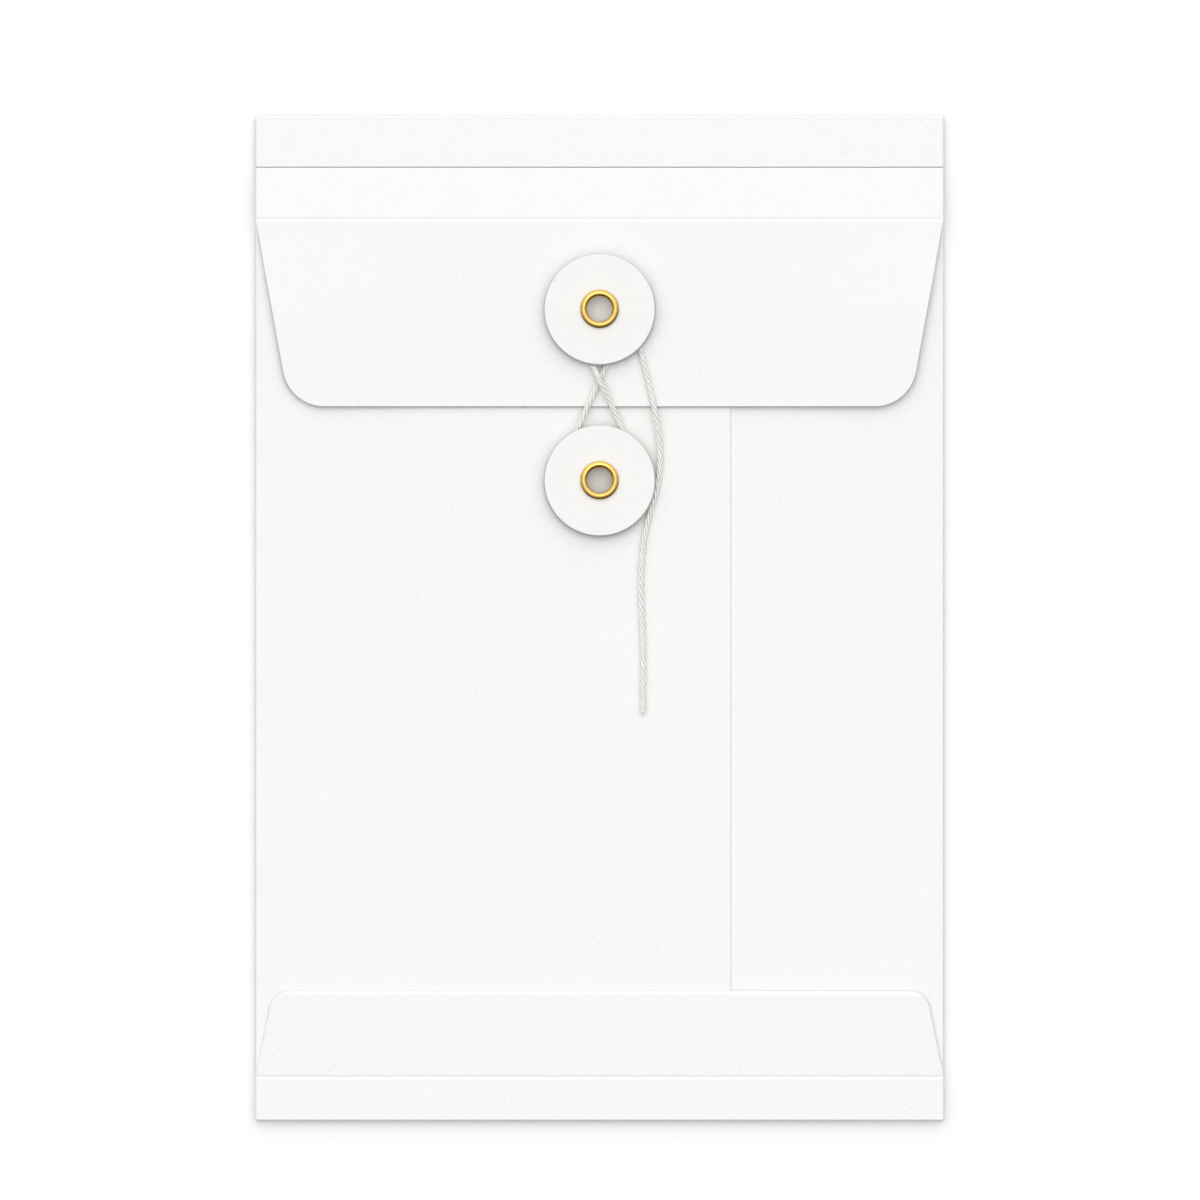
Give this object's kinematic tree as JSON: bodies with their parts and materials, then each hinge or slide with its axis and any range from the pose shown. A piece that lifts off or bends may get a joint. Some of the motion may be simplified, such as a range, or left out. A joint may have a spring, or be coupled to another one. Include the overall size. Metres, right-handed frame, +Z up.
{
  "type": "string tie envelope",
  "caption": "Flat paper envelope with a fold-over flap, closed by a string wound in a figure eight round two card buttons on brass eyelets.",
  "frame": {"origin": "middle of the outline, on the surface that the envelope lies on, under the back panel", "axes": "+X to the right of the front, +Y towards the closing flap's fold, +Z up off the front"},
  "size_m": [0.165, 0.2412, 0.0066],
  "materials": {
    "paper": "matt",
    "button_card": "matt",
    "brass": "polished",
    "string": "twisted",
    "glue": "clear"
  },
  "bodies": {
    "pocket": {"back_panel": "paper", "left_side_fold": "paper", "right_side_fold": "paper", "left_front_panel": "paper", "right_front_panel": "paper", "seam_glue": "glue", "bottom_fold": "paper", "base_strip": "paper", "bottom_flap": "paper", "bottom_flap_glue": "glue", "lower_eyelet": "brass"},
    "flap": {"top_strip": "paper", "shoulder_strip": "paper", "closing_flap": "paper", "upper_eyelet": "brass", "tie_string": "string"},
    "upper_button": {"upper_button": "button_card"},
    "lower_button": {"lower_button": "button_card"}
  },
  "joints": [
    {"name": "top_fold", "type": "hinge", "parent": "pocket", "child": "flap", "pos_m": [0, 0.12015, 0.0005], "axis": [-1, 0, 0], "range_deg": [0, 170], "deforming": ["tie_string"]},
    {"name": "upper_button_turn", "type": "hinge", "parent": "flap", "child": "upper_button", "pos_m": [0, 0.07415, 0.00505], "axis": [0, 0, 1], "continuous": true},
    {"name": "lower_button_turn", "type": "hinge", "parent": "pocket", "child": "lower_button", "pos_m": [0, 0.0331, 0.0041], "axis": [0, 0, 1], "continuous": true}
  ]
}
